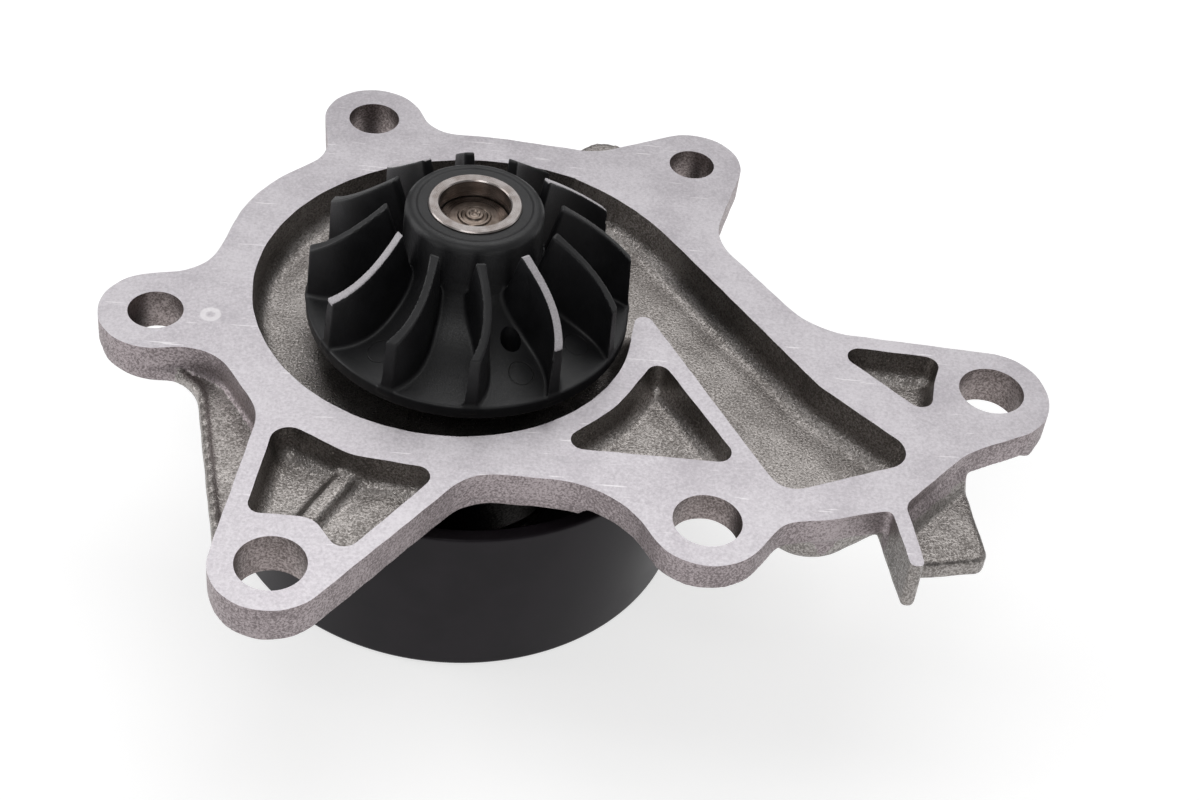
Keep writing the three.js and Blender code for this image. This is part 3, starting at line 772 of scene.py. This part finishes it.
def pulley_hub():
    """Collared hub pressed on the shaft and through the pulley's web."""
    low, flange = 0, 3.1
    bore, sleeve, collar = SHAFT_R + 0.1, 14, 19
    high = top("pulley_hub")
    return lathe(
        "hub",
        [
            (bore + 0.4, low),
            (sleeve - 0.4, low),
            (sleeve, low + 0.4),
            (sleeve, flange),
            (collar - 0.3, flange),
            (collar, flange + 0.3),
            (collar, flange + 2),
            (collar - 0.4, flange + 2.4),
            (sleeve + 0.6, flange + 2.4),
            (sleeve, flange + 3),
            (sleeve, high - 0.4),
            (sleeve - 0.4, high),
            (bore + 0.4, high),
            (bore, high - 0.4),
            (bore, low + 0.4),
        ],
    )


# ---------- materials ----------
class Shader:
    """One procedural material. Sizes are in millimetres."""

    def __init__(self, name, metallic, roughness, specular=0.5):
        self.material = bpy.data.materials.new(name)
        self.material.use_nodes = True
        self.tree = self.material.node_tree
        self.surface = self.tree.nodes["Principled BSDF"]
        self.set("Metallic", metallic)
        self.set("Roughness", roughness)
        self.set("Specular IOR Level", specular)
        self.place = self.add("ShaderNodeTexCoord").outputs["Object"]

    def add(self, kind, **settings):
        """A new node of a kind, with its settings."""
        node = self.tree.nodes.new(kind)
        for name, value in settings.items():
            setattr(node, name, value)
        return node

    def fill(self, socket, value):
        """Links an output to a socket, or sets the socket to a plain value."""
        if isinstance(value, bpy.types.NodeSocket):
            self.tree.links.new(value, socket)
        else:
            socket.default_value = value

    def set(self, name, value):
        self.fill(self.surface.inputs[name], value)

    def noise(self, size, detail=2, rough=0.5, vector=None):
        node = self.add("ShaderNodeTexNoise")
        self.fill(node.inputs["Vector"], vector or self.place)
        node.inputs["Scale"].default_value = 1 / (size * MM)
        node.inputs["Detail"].default_value = detail
        node.inputs["Roughness"].default_value = rough
        return node.outputs["Fac"]

    def stretched(self, scale, angle=0.0):
        """The place, scaled unevenly along turned axes."""
        node = self.add("ShaderNodeMapping")
        self.fill(node.inputs["Vector"], self.place)
        node.inputs["Scale"].default_value = scale
        node.inputs["Rotation"].default_value = (0, 0, angle)
        return node.outputs["Vector"]

    def math(self, operation, a, b=0.0):
        node = self.add("ShaderNodeMath", operation=operation)
        self.fill(node.inputs[0], a)
        self.fill(node.inputs[1], b)
        return node.outputs[0]

    def span(self, value, low, high, start=0.0, end=1.0):
        """Smooth step from start, where the value is low, to end, where it is high."""
        node = self.add("ShaderNodeMapRange", interpolation_type="SMOOTHSTEP")
        names = ("Value", "From Min", "From Max", "To Min", "To Max")
        for name, v in zip(names, (value, low, high, start, end)):
            self.fill(node.inputs[name], v)
        return node.outputs["Result"]

    def mix(self, share, a, b):
        node = self.add("ShaderNodeMix", data_type="RGBA")
        colours = [s for s in node.inputs if s.type == "RGBA"]
        self.fill(node.inputs[0], share)
        for socket, value in zip(colours, (a, b)):
            self.fill(socket, value if isinstance(value, bpy.types.NodeSocket) else (*value, 1))
        return [s for s in node.outputs if s.type == "RGBA"][0]

    def bump(self, height, depth, strength=1.0, under=None):
        node = self.add("ShaderNodeBump")
        self.fill(node.inputs["Height"], height)
        node.inputs["Distance"].default_value = depth * MM
        node.inputs["Strength"].default_value = strength
        if under is not None:
            self.fill(node.inputs["Normal"], under)
        return node.outputs["Normal"]

    def attribute(self, name):
        return self.add("ShaderNodeAttribute", attribute_name=name).outputs["Fac"]

    def cells(self, size):
        """Distance from the nearest of many scattered points, in millimetres, and a random tone."""
        node = self.add("ShaderNodeTexVoronoi", feature="F1")
        self.fill(node.inputs["Vector"], self.place)
        node.inputs["Scale"].default_value = 1 / (size * MM)
        return self.math("MULTIPLY", node.outputs["Distance"], size), node.outputs["Color"]

    def split(self):
        node = self.add("ShaderNodeSeparateXYZ")
        self.fill(node.inputs[0], self.place)
        return node.outputs

    def bright(self, colour):
        node = self.add("ShaderNodeRGBToBW")
        self.fill(node.inputs[0], colour)
        return node.outputs[0]

    def length(self, x, y):
        squares = self.math("ADD", self.math("MULTIPLY", x, x), self.math("MULTIPLY", y, y))
        return self.math("SQRT", squares)

    def axis_distance(self):
        x, y, _ = self.split()
        return self.length(x, y)


def cast_shader(name, light, dark, roughness, grain, metallic=1.0):
    """Shot-blasted casting skin: a fine hard grain over slow blotches."""
    s = Shader(name, metallic, roughness)
    blotch = s.noise(9, 3)
    speck = s.noise(0.42, 3, 0.7)
    share = s.math("ADD", s.math("MULTIPLY", blotch, 0.25), s.math("MULTIPLY", speck, 0.75))
    s.set("Base Color", s.mix(s.span(share, 0.4, 0.6), dark, light))
    s.set("Roughness", s.span(speck, 0.3, 0.7, roughness + 0.12, roughness - 0.1))
    coarse = s.bump(s.noise(1.6, 2), 0.05, 0.5)
    s.set("Normal", s.bump(speck, grain, 1.0, coarse))
    return s.material


def machined_shader():
    """Milled face: long faint tool marks, blotches, ring stains, pits and a few fine scratches."""
    s = Shader("machined_face", 1.0, 0.4)
    marks = s.noise(1, 2, 0.6, s.stretched((0.03, 3, 1), math.radians(62)))
    scratch = s.noise(1, 1, 0.5, s.stretched((0.1, 1.6, 1), math.radians(-28)))
    scratch = s.span(scratch, 0.73, 0.76)
    blotch = s.noise(14, 4, 0.6)
    grain = s.noise(0.55, 3, 0.7)
    tone = s.math("ADD", s.math("MULTIPLY", blotch, 0.5), s.math("MULTIPLY", grain, 0.5))
    colour = s.mix(s.span(tone, 0.32, 0.68), (0.40, 0.375, 0.40), (0.60, 0.575, 0.60))
    from_stain, stain_tone = s.cells(26)
    ring = s.math("ABSOLUTE", s.math("SUBTRACT", from_stain, 1.7))
    rare = s.span(s.bright(stain_tone), 0.5, 0.55)
    ring = s.math("MULTIPLY", s.span(ring, 0.25, 0.6, 0.5, 0.0), rare)
    colour = s.mix(ring, colour, (0.78, 0.76, 0.77))
    from_pit, pit_tone = s.cells(7)
    pit = s.math("MULTIPLY", s.span(from_pit, 0.12, 0.25, 1.0, 0.0), s.span(s.bright(pit_tone), 0.6, 0.65))
    colour = s.mix(s.math("MULTIPLY", pit, 0.7), colour, (0.12, 0.11, 0.11))
    s.set("Base Color", s.mix(s.math("MULTIPLY", scratch, 0.5), colour, (0.85, 0.83, 0.84)))
    s.set("Roughness", s.span(blotch, 0.3, 0.7, 0.36, 0.46))
    s.set("Normal", s.bump(marks, 0.012, 0.6, s.bump(grain, 0.03, 0.7)))
    return s.material


def turned_shader(name, light, dark, roughness, pitch=0.12, depth=0.006):
    """Turned steel: rings round the axis, with a little tarnish."""
    s = Shader(name, 1.0, roughness)
    distance = s.axis_distance()
    _, _, z = s.split()
    rings = s.add("ShaderNodeCombineXYZ")
    s.fill(rings.inputs[0], distance)
    s.fill(rings.inputs[2], z)
    lines = s.noise(pitch, 2, 0.6, rings.outputs[0])
    tarnish = s.noise(2.5, 4, 0.6)
    s.set("Base Color", s.mix(s.span(tarnish, 0.35, 0.7), light, dark))
    s.set("Roughness", s.span(lines, 0.3, 0.7, roughness - 0.06, roughness + 0.1))
    s.set("Normal", s.bump(lines, depth, 0.8))
    return s.material


def plastic_shader(name, colour, roughness, grain=0.02):
    """Moulded or rubbery skin: slow clouds of tone over a fine grain."""
    s = Shader(name, 0.0, roughness)
    skin = s.noise(0.28, 2, 0.6)
    cloud = s.noise(6, 3)
    paler = tuple(1.5 * c + 0.004 for c in colour)
    s.set("Base Color", s.mix(s.span(cloud, 0.35, 0.7), colour, paler))
    s.set("Roughness", s.span(cloud, 0.3, 0.7, roughness - 0.05, roughness + 0.06))
    s.set("Normal", s.bump(skin, grain, 0.8))
    return s.material


def impeller_shader():
    """Moulded plastic with ejector marks in three passages and bare witness blade tops."""
    s = Shader("impeller_plastic", 0.0, 0.48, 0.5)
    skin = s.noise(0.3, 3, 0.7)
    cloud = s.noise(5, 3)
    bare = s.attribute("bare_width")
    ragged = s.math("ADD", bare, s.math("MULTIPLY", skin, 0.12))
    bare = s.span(ragged, 0.1, 0.15)
    x, y, _ = s.split()
    mark = 1.0
    for azimuth in EJECTOR_AZIMUTHS:
        a = math.radians(azimuth)
        dx = s.math("SUBTRACT", x, EJECTOR_AT * math.cos(a) * MM)
        dy = s.math("SUBTRACT", y, EJECTOR_AT * math.sin(a) * MM)
        ring = s.math("ABSOLUTE", s.math("SUBTRACT", s.length(dx, dy), EJECTOR_R * MM))
        mark = s.math("MULTIPLY", mark, s.span(ring, 0.03 * MM, 0.13 * MM))
    black = s.mix(s.span(cloud, 0.35, 0.7), (0.0055, 0.0055, 0.0065), (0.010, 0.010, 0.0115))
    speckled = s.mix(s.span(skin, 0.6, 0.75), black, (0.02, 0.02, 0.023))
    marked = s.mix(mark, (0.002, 0.002, 0.002), speckled)
    worn = s.mix(s.span(skin, 0.3, 0.7), (0.36, 0.34, 0.36), (0.5, 0.48, 0.5))
    s.set("Base Color", s.mix(bare, marked, worn))
    s.set("Roughness", s.span(skin, 0.3, 0.7, 0.42, 0.55))
    s.set("Normal", s.bump(mark, 0.08, 0.9, s.bump(skin, 0.035, 0.9)))
    return s.material


def coated_shader():
    """Satin black coating over rolled steel."""
    s = Shader("pulley_coating", 0.0, 0.34, 0.15)
    cloud = s.noise(11, 3)
    dark, light = (0.010, 0.0078, 0.0105), (0.015, 0.012, 0.0155)
    s.set("Base Color", s.mix(s.span(cloud, 0.3, 0.7), dark, light))
    s.set("Roughness", s.span(cloud, 0.3, 0.7, 0.3, 0.38))
    s.set("Normal", s.bump(s.noise(0.4, 2), 0.006, 0.6))
    return s.material


def all_materials():
    """Every material by name. Metals have their light and dark tones, then roughness."""
    return {
        "machined": machined_shader(),
        "wall": cast_shader("cast_wall", (0.42, 0.37, 0.38), (0.21, 0.18, 0.185), 0.48, 0.08),
        "recess": cast_shader("cast_recess", (0.40, 0.375, 0.36), (0.17, 0.155, 0.145), 0.34, 0.12),
        # the tower inside the pulley is the same cast aluminium painted nearly black: painted shade for
        # the shade it lies in there
        "tower": cast_shader("cast_tower_painted_shade", (0.05, 0.046, 0.044), (0.02, 0.018, 0.017), 0.55, 0.08),
        "bore": cast_shader("cast_bore", (0.34, 0.295, 0.29), (0.15, 0.125, 0.12), 0.42, 0.06),
        "plastic": plastic_shader("black_plastic", (0.007, 0.007, 0.008), 0.4),
        "impeller": impeller_shader(),
        "bush": turned_shader("bush_steel", (0.40, 0.37, 0.36), (0.27, 0.235, 0.22), 0.3),
        "shaft": turned_shader("shaft_steel", (0.22, 0.18, 0.155), (0.10, 0.075, 0.06), 0.32, 0.5, 0.05),
        "bearing": turned_shader("bearing_steel", (0.66, 0.66, 0.66), (0.56, 0.55, 0.55), 0.2),
        "stamped": turned_shader("stamped_steel", (0.62, 0.62, 0.63), (0.5, 0.5, 0.5), 0.3),
        "coating": coated_shader(),
        "rubber": plastic_shader("black_rubber", (0.016, 0.016, 0.016), 0.75, 0.03),
        "nylon": plastic_shader("cage_nylon", (0.34, 0.27, 0.17), 0.5),
        "carbon": plastic_shader("seal_carbon", (0.03, 0.03, 0.032), 0.35, 0.008),
        "ceramic": plastic_shader("seal_ceramic", (0.07, 0.07, 0.075), 0.2, 0.004),
    }


# ---------- the scene ----------
def housing_zones(plans):
    """Chooses machined face, outer wall, recess, bore or tower for each face of the housing; the tower
    inside the pulley gets painted shade, a near black copy of the cast aluminium.
    """

    def choose(x, y, z, normal_z):
        edge = plans["edge"].at(x, y)
        hole = np.min([np.hypot(x - hx, y - hy) - d / 2 for hx, hy, d in BOLT_HOLES], axis=0)
        zone = np.full(len(x), 2)
        zone[(np.abs(edge) < 1.2) & (np.abs(normal_z) < 0.75)] = 1
        zone[np.abs(hole) < 0.05] = 3
        # zone 4, the tower inside the pulley, takes the near black painted shade
        zone[(np.hypot(x, y) < 28) & (z < FACE - BACK_DEPTH - 1)] = 4
        zone[(z > FACE - 0.02) & (normal_z > 0.9)] = 0
        return zone

    return choose


def camera():
    """The photo's camera: its place, in millimetres, and its forward and right directions."""
    data = bpy.data.cameras.new("camera")
    data.lens = 67.8
    data.sensor_width = 36
    data.clip_start = 0.01
    view = bpy.data.objects.new("camera", data)
    bpy.context.scene.collection.objects.link(view)
    view.location = Vector((0, -317.42, 323.31)) * MM
    forward = Vector((0.06146, 0.73149, -0.67908)).normalized()
    right = Vector((0.99522, 0.00678, 0.09737)).normalized()
    upward = right.cross(forward)
    turn = Matrix((right, upward, -forward)).transposed()
    view.rotation_euler = turn.to_euler()
    bpy.context.scene.camera = view


def softbox(name, place, aim, size, power):
    """A rectangular light, in metres and watts, turned to face the aim."""
    data = bpy.data.lights.new(name, "AREA")
    data.shape = "RECTANGLE"
    data.size, data.size_y = size
    data.energy = power
    light = bpy.data.objects.new(name, data)
    bpy.context.scene.collection.objects.link(light)
    light.location = place
    light.rotation_euler = (Vector(aim) - Vector(place)).to_track_quat("-Z", "Y").to_euler()


def studio():
    """A pale floor, an even white surround and five soft lights."""
    reach = 3000
    corners = [(-reach, -reach, 0), (reach, -reach, 0), (reach, reach, 0), (-reach, reach, 0)]
    floor = new_piece("floor", corners, [(0, 1, 2, 3)])
    s = Shader("floor_white", 0.0, 0.6, 0.2)
    s.set("Base Color", s.mix(s.noise(60, 2), (0.48, 0.48, 0.48), (0.5, 0.5, 0.5)))
    s.set("Emission Color", (1, 1, 1, 1))
    s.set("Emission Strength", 0.65)
    floor.data.materials.append(s.material)
    world = bpy.data.worlds.new("world")
    world.use_nodes = True
    world.node_tree.nodes["Background"].inputs["Color"].default_value = (1, 1, 1, 1)
    world.node_tree.nodes["Background"].inputs["Strength"].default_value = 0.22
    bpy.context.scene.world = world
    aim = (0.02, 0, 0.04)
    softbox("overhead", (0.1, 0.42, 1.08), aim, (1.2, 0.6), 5.4)
    softbox("back", (0.05, 0.9, 0.8), aim, (1.0, 0.5), 1.3)
    softbox("left", (-1.0, 0.1, 0.45), aim, (0.5, 0.8), 4)
    softbox("right", (1.0, 0.2, 0.55), aim, (0.4, 0.7), 0.8)
    softbox("front", (-0.2, -0.75, 1.0), aim, (0.5, 0.4), 2.6)
    bpy.context.scene.view_settings.view_transform = "Standard"


HOUSING_CELL = 0.55
IMPELLER_CELL = 0.28


def main():
    camera()
    studio()
    materials = all_materials()

    casting_piece, plans = housing()
    zones = [materials[n] for n in ("machined", "wall", "recess", "bore", "tower")]
    paint(casting_piece, zones, housing_zones(plans))
    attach(casting_piece, "housing_body")
    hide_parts("housing")

    moulding_piece = impeller(materials)
    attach(moulding_piece, "rotor")
    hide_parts("impeller")

    for piece, node, material, slot in (
        (bush(), "impeller_bush", "bush", "turned_steel"),
        (shaft(), "shaft", "shaft", "turned_steel"),
        (pulley(), "pulley", "coating", "coated_steel"),
        (pulley_hub(), "pulley_hub", "bush", "turned_steel"),
    ):
        smooth(piece)
        piece.data.materials.clear()
        piece.data.materials.append(materials[material])
        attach(piece, "rotor")
        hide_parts(node)

    looks = {
        "cast_aluminium": "recess",
        "bearing_steel": "bearing",
        "turned_steel": "bush",
        "stamped_steel": "stamped",
        "coated_steel": "coating",
        "black_plastic": "plastic",
        "black_rubber": "rubber",
        "cage_nylon": "nylon",
        "seal_carbon": "carbon",
        "seal_ceramic": "ceramic",
    }
    for part in frame["record"]["subparts"]:
        node = frame["nodes"][part["node"]]
        for slot in node.material_slots:
            slot.material = materials[looks[part["material_slot"]]]


main()
